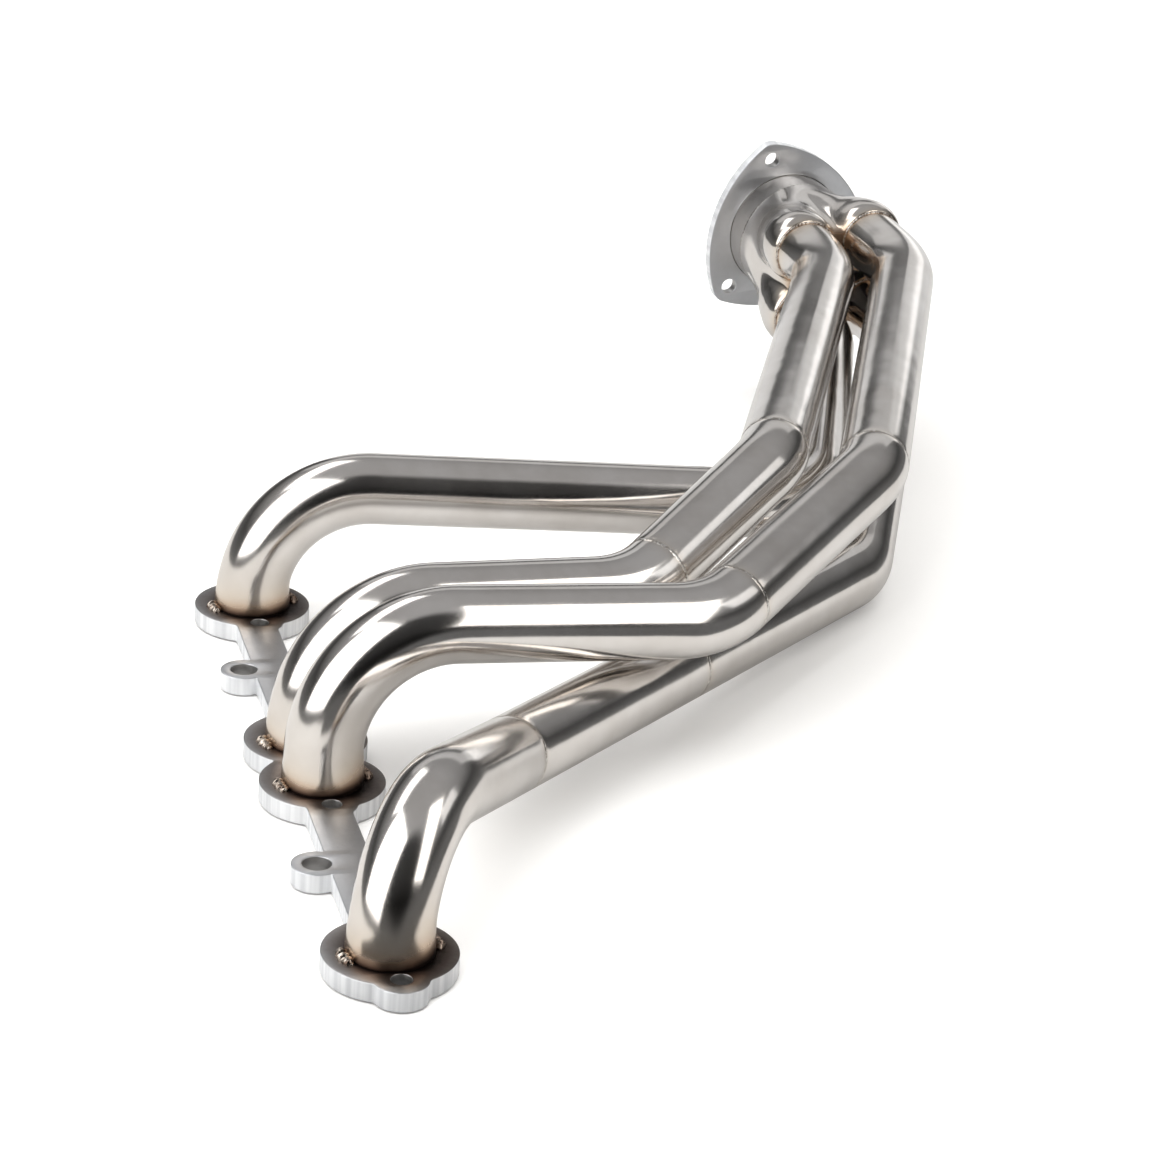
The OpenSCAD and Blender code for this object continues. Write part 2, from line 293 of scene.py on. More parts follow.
# Points round a tube, and the usual distance between its rings. The bore has one ring in BORE_EVERY
AROUND = 80
STEP = 3.0
BORE_EVERY = 3
# Extra rings near the ends, beside each seam and where the tube leaves the plate
END_RING = 0.6
SEAM_RINGS = (-4, -2.5, -1.2, 1.2, 2.5, 4)
FOOT_RINGS = (FLARE_START, -0.1, FLARE_FULL, 1.0)


def faded(strength, distance, length):
    return strength * math.exp(-distance / length)


def tube_heat(k, s, outward):
    """How strongly welding has tinted tube k at distance s, on the side that faces outward."""
    foot = max(s - FOOT_AT, 0)
    end = max(LINES[k].length - INSERT_D - s, 0)
    uneven = FOOT_FADE_WAVE * math.sin(5 * outward[1] + 2 * k)
    fade = FOOT_FADE + FOOT_FADE_SIDE * max(outward[0], 0) + uneven
    heat = faded(FOOT_TINT, foot, fade) + faded(STRAW_TINT, foot, STRAW_FADE)
    heat = max(heat, faded(MOUTH_TINT, end, MOUTH_FADE))
    for seam in SEAMS[k]:
        heat = max(heat, faded(SEAM_TINT, abs(s - seam), SEAM_FADE))
    return heat


def tube_radius(k, s):
    foot = s - FOOT_AT
    opening = smoothstep(FLARE_START, FLARE_FULL, foot)
    flare = FOOT_FLARE * (1 - smoothstep(0, FOOT_FLARE_LEN, foot)) * opening
    dip = sum(SEAM_DIP * math.exp(-((s - seam) / SEAM_DIP_LEN) ** 2) for seam in SEAMS[k])
    return TUBE_R + float(flare) - dip


def make_tube(name, k, s0, s1, node, materials):
    """A hollow length of tube k between two distances along it."""
    count = max(2, math.ceil((s1 - s0) / STEP) + 1)
    distances = list(np.linspace(s0, s1, count))
    marks = [s0 + END_RING, s1 - END_RING]
    marks += [seam + offset for seam in SEAMS[k] for offset in SEAM_RINGS]
    marks += [FOOT_AT + offset for offset in FOOT_RINGS]
    distances = sorted(distances + [s for s in marks if s0 < s < s1])
    verts, heat = [], []
    angles = np.linspace(0, 2 * math.pi, AROUND, endpoint=False)
    frames = carried_frames(LINES[k], distances)
    for s, (point, _, a, b) in zip(distances, frames):
        r = tube_radius(k, s)
        for t in angles:
            outward = math.cos(t) * a + math.sin(t) * b
            verts.append(point + r * outward)
            heat.append(tube_heat(k, s, outward))
    rows = len(distances)
    faces = grid_faces(rows, AROUND)
    inner_base = len(verts)
    inner = [f for i, f in enumerate(frames) if i % BORE_EVERY == 0 or i == rows - 1]
    for point, _, a, b in inner:
        verts.extend(point + BORE_R * (math.cos(t) * a + math.sin(t) * b) for t in angles)
        heat.extend([0.0] * AROUND)
    outer_faces = len(faces)
    faces += grid_faces(len(inner), AROUND, inner_base, flip=True)
    last_outer = (rows - 1) * AROUND
    last_inner = inner_base + (len(inner) - 1) * AROUND
    for j in range(AROUND):
        n = (j + 1) % AROUND
        faces.append((j, inner_base + j, inner_base + n, n))
        faces.append((last_outer + j, last_outer + n, last_inner + n, last_inner + j))
    face_material = [0] * outer_faces + [1] * (len(faces) - outer_faces)
    make_piece(name, verts, faces, [node], materials, face_material, heat=heat)


# ---- Weld beads ----
# Round beads: how deep the middle lies under the surface, half width, height, length of one ripple
SEAM_BEAD = (0.25, 1.2, 0.29, 2.2)
SEAL_BEAD = (0.4, 1.1, 0.9, 2.4)
NECK_BEAD = (0.4, 1.2, 0.5, 2.6)
FLANGE_BEAD = (0.5, 1.2, 0.9, 2.6)
MOUTH_BEAD = (-0.2, 0.9, 0.8, 2.6)
# Distance between the sections of a round bead, points in a section, and the ripples' share of the height
BEAD_STEP = 0.45
BEAD_POINTS = 12
BEAD_RIPPLE = 0.28
# Seal welds lie this far below the tube ends, and the outlet weld this far inside the flange's face
SEAL_DROP = 0.3
FLANGE_BEAD_IN = 1.6
# Short beads on the plate, in degrees: middle of each from +X, half its turn, how much that varies
TACK_AT = (12, 192)
TACK_HALF_TURN = 18
TACK_TURN_VARIES = 1.5
# Their distance out from the tube, width, height, ripple length, section spacing and points in a section
TACK_OUT = 2.6
TACK_W = 6.0
TACK_H = 3.1
TACK_PITCH = 2.0
TACK_STEP = 0.3
TACK_POINTS = 14
# Share of a tack's height and of its half width that the ripples take away
TACK_RIPPLE = 0.38
TACK_EDGE_RIPPLE = 0.1


def bead_ring(name, centre, axis, surface_r, size, node, material):
    """A rippled bead all the way round an axis, like laid coins."""
    sunk, half_width, height, pitch = size
    radius = surface_r - sunk
    axis = unit(axis)
    side = square_to(axis)
    other = np.cross(axis, side)
    steps = int(2 * math.pi * radius / BEAD_STEP)
    ripples = round(2 * math.pi * radius / pitch)
    phase = random.uniform(0, 6)
    verts = []
    for i in range(steps):
        t = 2 * math.pi * i / steps
        wander = 1 + 0.08 * math.sin(3 * t + phase) + 0.05 * math.sin(7 * t + 2 * phase)
        radial = math.cos(t) * side + math.sin(t) * other
        for j in range(BEAD_POINTS):
            q = 2 * math.pi * j / BEAD_POINTS
            bow = 0.5 * math.cos(q) ** 2
            ripple = abs(math.sin(ripples * t / 2 + bow + phase))
            out = height * (1 - BEAD_RIPPLE + BEAD_RIPPLE * ripple) * wander * math.sin(q)
            along = half_width * wander * math.cos(q)
            verts.append(centre + (radius + out) * radial + along * axis)
    faces = grid_faces(steps, BEAD_POINTS, closed_rows=True)
    make_piece(name, verts, faces, [node], [material], sharp=0)


def coin_strip(centre, turn_from, turn_to, shift):
    """Points and faces of one short rippled bead lying on the plate round a tube."""
    radius = TUBE_R + TACK_OUT
    length = radius * (turn_to - turn_from)
    steps = int(length / TACK_STEP)
    verts = []
    for i in range(steps + 1):
        u = i / steps
        t = turn_from + (turn_to - turn_from) * u
        end = max(0.05, 1 - abs(2 * u - 1) ** 4) ** 0.5
        s = u * length
        lump = 1 + 0.1 * math.sin(1.7 * s + shift) + 0.07 * math.sin(3.9 * s + 3 * shift)
        for j in range(TACK_POINTS):
            q = 2 * math.pi * j / TACK_POINTS
            bow = 0.55 * math.cos(q) ** 2
            ripple = abs(math.sin(math.pi * s / TACK_PITCH + bow + shift))
            wide = TACK_W / 2 * end * lump * (1 - TACK_EDGE_RIPPLE + TACK_EDGE_RIPPLE * ripple)
            high = TACK_H * end * lump * (1 - TACK_RIPPLE + TACK_RIPPLE * ripple)
            r = radius + wide * math.cos(q)
            z = PLATE_T + high * math.sin(q)
            verts.append((centre[0] + r * math.cos(t), centre[1] + r * math.sin(t), z))
    faces = grid_faces(steps + 1, TACK_POINTS, flip=True)
    faces.append(tuple(range(TACK_POINTS)))
    faces.append(tuple(steps * TACK_POINTS + j for j in reversed(range(TACK_POINTS))))
    return verts, faces


def port_tacks(k, node, materials):
    """The two short beads at the foot of a tube, an oxidised one and a bright one."""
    verts, faces, face_material = [], [], []
    for side, middle in enumerate(math.radians(a) for a in TACK_AT):
        half = math.radians(TACK_HALF_TURN + random.uniform(-TACK_TURN_VARIES, TACK_TURN_VARIES))
        shift = random.uniform(0, 3)
        strip, strip_faces = coin_strip((0, PORT_Y[k]), middle - half, middle + half, shift)
        base = len(verts)
        verts += strip
        faces += [tuple(base + i for i in f) for f in strip_faces]
        face_material += [side] * len(strip_faces)
    make_piece("weld_" + node, verts, faces, [node], materials, face_material, sharp=0)


# ---- Plates with rounded edges ----
EDGE_ROUND = 0.5
# Edges of a plate sharper than this, in degrees, stay crisp
PLATE_SHARP = 50
# Points of a plate closer than this, in metres, become one
MERGE_DIST = 2e-6
# A face belongs to a hole's wall if it lies this near the hole and its normal's height is under the limit
WALL_REACH = 0.2
WALL_TILT = 0.6


def arc_points(x, y, r, turns):
    return [(x + r * math.cos(t), y + r * math.sin(t)) for t in turns]


def circle_loop(x, y, r, steps=64):
    return arc_points(x, y, r, np.linspace(0, 2 * math.pi, steps, endpoint=False))


def plate_piece(name, outline, holes, thickness, to_row, node, materials):
    """A flat plate with round holes (x, y, radius) and slightly rounded edges, made from a filled curve."""
    curve = bpy.data.curves.new(name, "CURVE")
    curve.dimensions = "2D"
    curve.fill_mode = "BOTH"
    curve.extrude = (thickness / 2 - EDGE_ROUND) * MM
    curve.bevel_depth = EDGE_ROUND * MM
    curve.bevel_resolution = 2
    curve.offset = -EDGE_ROUND * MM
    for loop in [outline] + [circle_loop(*hole) for hole in holes]:
        spline = curve.splines.new("POLY")
        spline.points.add(len(loop) - 1)
        for p, (x, y) in zip(spline.points, loop):
            p.co = (x * MM, y * MM, 0, 1)
        spline.use_cyclic_u = True
    drawn = bpy.data.objects.new(name + "_curve", curve)
    bpy.context.scene.collection.objects.link(drawn)
    bpy.context.view_layer.update()
    filled = drawn.evaluated_get(bpy.context.evaluated_depsgraph_get())
    mesh = bpy.data.meshes.new_from_object(filled)
    bpy.data.objects.remove(drawn)
    joined = bmesh.new()
    joined.from_mesh(mesh)
    bmesh.ops.remove_doubles(joined, verts=joined.verts, dist=MERGE_DIST)
    bmesh.ops.recalc_face_normals(joined, faces=joined.faces)
    joined.to_mesh(mesh)
    joined.free()
    mesh.materials.clear()
    for m in materials:
        mesh.materials.append(m)
    for face in mesh.polygons:
        x, y = face.center[0] / MM, face.center[1] / MM
        in_hole = any(math.hypot(x - hx, y - hy) < r + WALL_REACH for hx, hy, r in holes)
        # Hole walls take the second material, which is painted dark as the shade inside the holes
        face.material_index = 1 if in_hole and abs(face.normal[2]) < WALL_TILT else 0
    mesh.transform(to_row)
    mesh.polygons.foreach_set("use_smooth", np.ones(len(mesh.polygons), bool))
    mesh.set_sharp_from_angle(angle=math.radians(PLATE_SHARP))
    place(name, mesh, [node])


# Round pad at each port, with a lobe round each of its bolt holes
PAD_R = 30.5
LOBE_R = 12.5
BOLT_OFFSET = 25.5
BOLT_HOLE_D = 9.6
# Ears on the -X side, and the web that joins the pads
EAR_HOLE_D = 13.6
EAR_X = -17.5
EAR_Y = 107.5
EAR_R = 12
EAR_NECK_W = 18
WEB_X = -2
WEB_W = 21
INNER_ROUND = 1.2
# Grid on which the outline is traced: its cell and its margin round the plate
OUTLINE_CELL = 0.75
OUTLINE_MARGIN = 5.5


def head_plate_depth(x, y):
    """Signed distance to the edge of the head flange outline, negative inside."""
    shapes = []
    for port in PORT_Y:
        shapes.append(np.hypot(x, y - port) - PAD_R)
        for s in (-1, 1):
            shapes.append(np.hypot(x, y - port - s * BOLT_OFFSET) - LOBE_R)
    dx, dy = np.abs(x - WEB_X) - WEB_W / 2, np.abs(y) - PORT_Y[0]
    shapes.append(np.maximum(dx, dy))
    for s in (-1, 1):
        shapes.append(np.hypot(x - EAR_X, y - s * EAR_Y) - EAR_R)
        dx = np.abs(x - EAR_X - EAR_R / 2) - EAR_R / 2
        dy = np.abs(y - s * EAR_Y) - EAR_NECK_W / 2
        shapes.append(np.maximum(dx, dy))
    total = shapes[0]
    for shape in shapes[1:]:
        h = np.clip(INNER_ROUND - np.abs(total - shape), 0, None) / INNER_ROUND
        total = np.minimum(total, shape) - h * h * INNER_ROUND / 4
    return total


def traced_outline(depth, low, high, cell):
    """The closed line where depth is zero, followed cell by cell over a grid."""
    xs = np.arange(low[0], high[0] + cell, cell)
    ys = np.arange(low[1], high[1] + cell, cell)
    gx, gy = np.meshgrid(xs, ys, indexing="ij")
    d = depth(gx, gy)
    links = {}

    points = {}

    def crossing(i0, j0, i1, j1):
        t = d[i0, j0] / (d[i0, j0] - d[i1, j1])
        return xs[i0] + t * (xs[i1] - xs[i0]), ys[j0] + t * (ys[j1] - ys[j0])

    low_d = np.minimum.reduce([d[:-1, :-1], d[1:, :-1], d[1:, 1:], d[:-1, 1:]])
    high_d = np.maximum.reduce([d[:-1, :-1], d[1:, :-1], d[1:, 1:], d[:-1, 1:]])
    for i, j in zip(*np.nonzero((low_d < 0) & (high_d >= 0))):
        edges = ((i, j, i + 1, j), (i + 1, j, i + 1, j + 1), (i, j + 1, i + 1, j + 1), (i, j, i, j + 1))
        ends = []
        for e in edges:
            if (d[e[0], e[1]] < 0) != (d[e[2], e[3]] < 0):
                points[e] = crossing(*e)
                ends.append(e)
        for a, b in zip(ends[::2], ends[1::2]):
            links.setdefault(a, []).append(b)
            links.setdefault(b, []).append(a)
    start = next(iter(links))
    loop, before, here = [start], None, start
    while True:
        following = [n for n in links[here] if n != before]
        before, here = here, following[0]
        if here == start:
            break
        loop.append(here)
    return [points[k] for k in loop]


def make_head_plate(materials):
    half_x = PAD_R + OUTLINE_MARGIN
    half_y = PORT_Y[0] + BOLT_OFFSET + LOBE_R + OUTLINE_MARGIN
    outline = traced_outline(head_plate_depth, (-half_x, -half_y), (half_x, half_y), OUTLINE_CELL)
    holes = [(0, y, TUBE_R + FIT_GAP) for y in PORT_Y]
    bolts = [PORT_Y[0] + BOLT_OFFSET, PORT_Y[0] - BOLT_OFFSET, PORT_Y[1] + BOLT_OFFSET]
    for s in (-1, 1):
        holes += [(0, s * y, BOLT_HOLE_D / 2) for y in bolts]
        holes.append((EAR_X, s * EAR_Y, EAR_HOLE_D / 2))
    to_row = Matrix.Translation((0, 0, PLATE_T / 2 * MM))
    plate_piece(
        "head_plate", outline, holes, PLATE_T, to_row, "head_flange", materials
    )


# ---- Collector ----
# Outlet flange: corner radius, distance of its sides' middles from the axis, turn of its first corner
OUTLET_CORNER_R = 11
OUTLET_SIDE_R = 50.5
OUTLET_TURN = 101
CORNER_POINTS = 24
SIDE_POINTS = 40


def collector_matrix(from_mouth):
    """From the collector's own axes (cell directions, outlet direction) to the row frame."""
    m = Matrix.Identity(4)
    at = (MOUTH_C + from_mouth * OUT_DIR) * MM
    for i in range(3):
        m[i][0], m[i][1], m[i][2], m[i][3] = CELL_U[i], -CELL_V[i], OUT_DIR[i], at[i]
    return m


def outlet_outline():
    """Rounded triangle: three corner arcs joined by three wide side arcs."""
    corner_c = OUTLET_PCD / 2
    gap = OUTLET_SIDE_R - OUTLET_CORNER_R
    side_c = (corner_c ** 2 - gap ** 2) / (2 * gap - corner_c)
    side_r = OUTLET_SIDE_R + side_c
    sixth = math.radians(60)
    tangent = math.atan2(side_c * math.sin(sixth), corner_c + side_c * math.cos(sixth))
    loop = []
    for corner in range(3):
        a = math.radians(120 * corner - OUTLET_TURN)
        turns = np.linspace(a - tangent, a + tangent, CORNER_POINTS)
        loop += arc_points(corner_c * math.cos(a), corner_c * math.sin(a), OUTLET_CORNER_R, turns)
        m = a + sixth
        turns = np.linspace(a + tangent, a + 2 * sixth - tangent, SIDE_POINTS)[1:-1]
        loop += arc_points(-side_c * math.cos(m), -side_c * math.sin(m), side_r, turns)
    return loop


def make_outlet_plate(materials):
    holes = [(0, 0, NECK_R + FIT_GAP)]
    for corner in range(3):
        a = math.radians(120 * corner - OUTLET_TURN)
        holes.append((OUTLET_PCD / 2 * math.cos(a), OUTLET_PCD / 2 * math.sin(a), OUTLET_HOLE_D / 2))
    to_row = collector_matrix(COLLECTOR_LEN + OUTLET_T / 2)
    outline = outlet_outline()
    plate_piece(
        "outlet_plate", outline, holes, OUTLET_T, to_row, "collector_flange", materials
    )


# Outer radius of a cup, distance of its middle from the axis, and radius of the waist between the cups
MOUTH_R = TUBE_R + FIT_GAP + COLLECTOR_WALL
LOBE_AT = CELL / math.sqrt(2)
WAIST_R = 33
MERGE_LEN = COLLECTOR_LEN - NECK_LEN
# Extra radius of the neck against the distance from the merge
NECK_FLARE = [(0.8, 0), (0.55, 3), (0.3, 7), (0.1, 11), (0, 15)]
SHELL_END_R = NECK_R + NECK_FLARE[0][0]
# The neck stops this far short of the flange's outer face
NECK_SHORT = 2
# The star-shaped gap between the cups goes no further out than this
STAR_R = 20
# Radius of a cup against the distance from its mouth: a thin lip that swells into a rounded ring
CUP_AT = [0, 0.4, 1.2, 2.5, 4.5, 8, 13, 20, 40]
CUP_R = [19.9, 20.4, 20.9, 21.5, 22.2, 22.7, 22.4, 21.6, 21.0]
# The merge starts to narrow this far before the tube ends, and turns round over this length before the neck
NARROW_BEFORE = 3
ROUND_OFF_LEN = 26
# Softness of the folds between the cups at the mouths, and how much softer they are at the neck
FOLD_SOFT = 4
FOLD_SOFT_GAIN = 10
# The waist between the cups is drawn in by this much at the mouths, over this length
WAIST_DIP = 1.5
WAIST_DIP_LEN = 2
# Weld tint: in the folds, round the lips and inside the mouths, and angles from a lobe where a fold begins
FOLD_TINT = 0.5
FOLD_FADE = 8
LIP_TINT = 0.2
LIP_FADE = 2
SLEEVE_TINT = 0.5
FOLD_FROM = 0.45
FOLD_FULL = 0.75
# Sections of the shell from its mouths to the neck, and the number of the inner ones
LIP_SECTIONS = [0, 0.2, 0.5, 0.9, 1.4, 2.2, 3.2]
OUTER_SECTIONS = LIP_SECTIONS + list(np.linspace(4.5, MERGE_LEN, 40))
INNER_SECTIONS = 18
# Points round the shell, the star-shaped gap, the neck and the plug
SHELL_POINTS = 288
STAR_POINTS = 96
NECK_POINTS = 128
PLUG_POINTS = 240


def soft_max(a, b, width):
    h = np.clip(width - np.abs(a - b), 0, None) / width
    return np.maximum(a, b) + h * h * width / 4


def off_lobe(angle):
    """Angle from the nearest lobe's middle."""
    return angle % (math.pi / 2) - math.pi / 4


def merge_radius(angle, w):
    """Outer radius of the merge at distance w from the mouths: four cups drawn in to the round neck."""
    t = float(smoothstep(INSERT_D - NARROW_BEFORE, MERGE_LEN, w))
    cup = float(np.interp(w, CUP_AT, CUP_R))
    centre = LOBE_AT * (1 - t) + (NECK_R - MOUTH_R) * t
    off = off_lobe(angle)
    inside = cup ** 2 - (centre * np.sin(off)) ** 2
    lobes = np.where(inside > 0, centre * np.cos(off) + np.sqrt(np.clip(inside, 0, None)), 0)
    waist = WAIST_R - WAIST_DIP * math.exp(-w / WAIST_DIP_LEN)
    core = waist + (NECK_R - WAIST_R) * float(smoothstep(0, MERGE_LEN, w))
    shape = soft_max(lobes, core, FOLD_SOFT + FOLD_SOFT_GAIN * t)
    round_off = float(smoothstep(MERGE_LEN - ROUND_OFF_LEN, MERGE_LEN, w))
    return shape * (1 - round_off) + SHELL_END_R * round_off


def star_radius(angle, clearance):
    """Outline of the gap in the middle of the four cups."""
    off = off_lobe(angle)
    inside = (MOUTH_R + clearance) ** 2 - (LOBE_AT * np.sin(off)) ** 2
    near = np.where(inside > 0, LOBE_AT * np.cos(off) - np.sqrt(np.clip(inside, 0, None)), STAR_R)
    return np.minimum(near, STAR_R - clearance)


def shell_heat(angle, w):
    """Weld tint of the merge: strong in the folds between the cups, faint round the lips."""
    fold = smoothstep(FOLD_FROM, FOLD_FULL, np.abs(off_lobe(angle)))
    return fold * faded(FOLD_TINT, w, FOLD_FADE) + faded(LIP_TINT, w, LIP_FADE)


def loop_points(angles, radii, w):
    return [(r * math.cos(a), r * math.sin(a), w) for a, r in zip(angles, radii)]


def in_row(verts, from_mouth=0):
    """Points in the collector's own axes, placed in the row frame."""
    matrix = collector_matrix(from_mouth)
    return [tuple((matrix @ Vector([c * MM for c in v])) / MM) for v in verts]


def cap_faces(verts, loops, flip):
    """Triangles that fill a flat face between an outer loop and the holes in it, each a list of indices."""
    order = [i for loop in loops for i in loop]
    outlines = [[Vector(verts[i]) for i in loop] for loop in loops]
    faces = []
    for a, b, c in tessellate_polygon(outlines):
        p, q, r = (np.array(verts[order[i]]) for i in (a, b, c))
        up = np.cross(q - p, r - p)[2] > 0
        a, b, c = order[a], order[b], order[c]
        faces.append((a, b, c) if up != flip else (a, c, b))
    return faces


def make_collector_body(materials):
    """Merge shell: outer skin, lips and sleeves of the mouths, inside surface and neck edge, closed."""
    around = SHELL_POINTS
    angles = np.linspace(0, 2 * math.pi, around, endpoint=False)
    verts, heat, faces, face_material = [], [], [], []

    def add_skin(stations, inset, material):
        base = len(verts)
        for w in stations:
            verts.extend(loop_points(angles, merge_radius(angles, w) - inset, w))
            heat.extend(shell_heat(angles, w) if not inset else np.zeros(around))
        new = grid_faces(len(stations), around, base)
        faces.extend(new)
        face_material.extend([material] * len(new))
        first = list(range(base, base + around))
        last = list(range(len(verts) - around, len(verts)))
        return first, last

    def add_tube(loop_low, loop_high):
        base = len(verts)
        count = len(loop_low)
        verts.extend(loop_low + loop_high)
        heat.extend([SLEEVE_TINT] * count + [0.0] * count)
        new = grid_faces(2, count, base, flip=True)
        faces.extend(new)
        face_material.extend([1] * len(new))
        return list(range(base, base + count)), list(range(base + count, base + 2 * count))

    mouth_edge, neck_edge = add_skin(OUTER_SECTIONS, 0, 0)
    inner_w = np.linspace(MERGE_LEN, INSERT_D, INNER_SECTIONS)
    inner_neck, inner_step = add_skin(inner_w, COLLECTOR_WALL, 1)
    for j in range(around):
        n = (j + 1) % around
        faces.append((neck_edge[j], neck_edge[n], inner_neck[n], inner_neck[j]))
        face_material.append(1)
    mouth_holes, step_holes = [], []
    for s in CELL_SIGN:
        circle = circle_loop(s[0] * CELL / 2, -s[1] * CELL / 2, TUBE_R + FIT_GAP)
        low, high = add_tube([(*p, 0.0) for p in circle], [(*p, INSERT_D) for p in circle])
        mouth_holes.append(low)
        step_holes.append(high)
    star_turns = np.linspace(0, 2 * math.pi, STAR_POINTS, endpoint=False)
    star = star_radius(star_turns, 0)
    low, high = add_tube(loop_points(star_turns, star, 0.0), loop_points(star_turns, star, INSERT_D))
    caps = [
        ([mouth_edge] + mouth_holes + [low], True, 0),
        ([inner_step] + step_holes + [high], False, 1),
    ]
    for loops, flip, material in caps:
        new = cap_faces(verts, loops, flip)
        faces.extend(new)
        face_material.extend([material] * len(new))
    placed = in_row(verts)
    nodes = ["collector_body"]
    make_piece(
        "collector_shell", placed, faces, nodes, materials, face_material, 50, heat
    )


def make_neck(materials):
    """Round neck between the merge and the outlet flange, flaring a little toward the merge."""
    around = NECK_POINTS
    inner = NECK_R - COLLECTOR_WALL
    end = NECK_LEN + OUTLET_T - NECK_SHORT
    outer = [(NECK_R + extra, h) for extra, h in NECK_FLARE] + [(NECK_R, NECK_LEN), (NECK_R, end)]
    profile = outer + [(inner, end), (inner, 0)]
    turns = [2 * math.pi * i / around for i in range(around)]
    verts = [point for r, h in profile for point in loop_points(turns, [r] * around, h)]
    faces = grid_faces(len(profile), around, closed_rows=True)
    face_material = [0] * (len(outer) * around) + [1] * (2 * around)
    placed = in_row(verts, MERGE_LEN)
    nodes = ["collector_neck"]
    make_piece("neck", placed, faces, nodes, materials, face_material, 45)


def make_plug(material):
    """Plate that closes the star-shaped gap between the four mouths."""
    around = PLUG_POINTS
    angles = np.linspace(0, 2 * math.pi, around, endpoint=False)
    edge = star_radius(angles, FIT_GAP)
    verts = loop_points(angles, edge, INSERT_D / 2) + loop_points(angles, edge, INSERT_D / 2 + PLUG_T)
    faces = grid_faces(2, around)
    faces.append(tuple(reversed(range(around))))
    faces.append(tuple(range(around, 2 * around)))
    make_piece("merge_plug", in_row(verts), faces, ["collector_plug"], [material])


# ---- Materials ----
# Soot on the head flange reaches this many millimetres out from the tube
SOOT_REACH = 19
# How much further from the port a place counts on the -X and on the +X side, and how the edge wanders
SOOT_SHIFT = (0.002, -0.0055)
SOOT_RAGGED = 0.0025
# The floor's glow grows between these distances from the object, from this share of its full strength
GLOW_FROM = 1.0
GLOW_FULL = 2.3
GLOW_NEAR = 0.2


class Nodes:
    """Short calls for building a node tree."""

    def __init__(self, tree):
        self.tree = tree

    def node(self, kind, inputs=None, **settings):
        n = self.tree.nodes.new(kind)
        for key, value in settings.items():
            setattr(n, key, value)
        for key, value in (inputs or {}).items():
            self.put(n.inputs[key], value)
        return n

    def put(self, socket, value):
        if isinstance(value, bpy.types.NodeSocket):
            self.tree.links.new(value, socket)
        else:
            socket.default_value = value

    def math(self, operation, a, b=0.0):
        return self.node("ShaderNodeMath", {0: a, 1: b}, operation=operation).outputs[0]

    def vector_value(self, operation, a, b):
        n = self.node("ShaderNodeVectorMath", {0: a, 1: b}, operation=operation)
        return n.outputs["Value"]

    def span(self, value, from_low, from_high, to_low, to_high):
        inputs = {0: value, 1: from_low, 2: from_high, 3: to_low, 4: to_high}
        return self.node("ShaderNodeMapRange", inputs).outputs[0]

    def ramp(self, value, stops):
        n = self.node("ShaderNodeValToRGB", {0: value})
        ramp = n.color_ramp
        while len(ramp.elements) < len(stops):
            ramp.elements.new(0.5)
        for element, (at, colour) in zip(ramp.elements, stops):
            element.position = at
            element.color = (*colour, 1)
        return n.outputs[0]

    def mix(self, factor, a, b, blend="MIX"):
        n = self.node("ShaderNodeMix", {0: factor}, data_type="RGBA", blend_type=blend)
        self.put(n.inputs[6], a if isinstance(a, bpy.types.NodeSocket) else (*a, 1))
        self.put(n.inputs[7], b if isinstance(b, bpy.types.NodeSocket) else (*b, 1))
        return n.outputs[2]


class Surface(Nodes):
    """The node tree of a new material, with its shader and the place on the piece."""

    def __init__(self, name):
        self.material = bpy.data.materials.new(name)
        self.material.use_nodes = True
        super().__init__(self.material.node_tree)
        self.shader = self.tree.nodes["Principled BSDF"]
        self.point = self.node("ShaderNodeTexCoord").outputs["Object"]

    def noise(self, scale, detail, rough, stretch=None):
        vector = self.point
        if stretch is not None:
            vector = self.node("ShaderNodeMapping", {"Vector": vector, "Scale": stretch}).outputs[0]
        inputs = {"Vector": vector, "Scale": scale, "Detail": detail, "Roughness": rough}
        return self.node("ShaderNodeTexNoise", inputs).outputs["Fac"]

    def bump(self, height, strength, distance, normal=None):
        inputs = {"Height": height, "Strength": strength, "Distance": distance}
        if normal is not None:
            inputs["Normal"] = normal
        return self.node("ShaderNodeBump", inputs).outputs[0]

    def finish(self, **inputs):
        for key, value in inputs.items():
            self.put(self.shader.inputs[key.replace("_", " ")], value)
        return self.material


def heat_colours(n, heat, base):
    """Base metal turning straw, brown and then nearly black as the heat value rises."""
    tint = n.ramp(heat, [
        (0.0, (1.0, 1.0, 1.0)),
        (0.16, (0.98, 0.92, 0.84)),
        (0.36, (0.86, 0.72, 0.59)),
        (0.56, (0.54, 0.40, 0.30)),
        (0.78, (0.25, 0.17, 0.13)),
        (1.0, (0.05, 0.035, 0.03)),
    ])
    return n.mix(1.0, base, tint, "MULTIPLY")


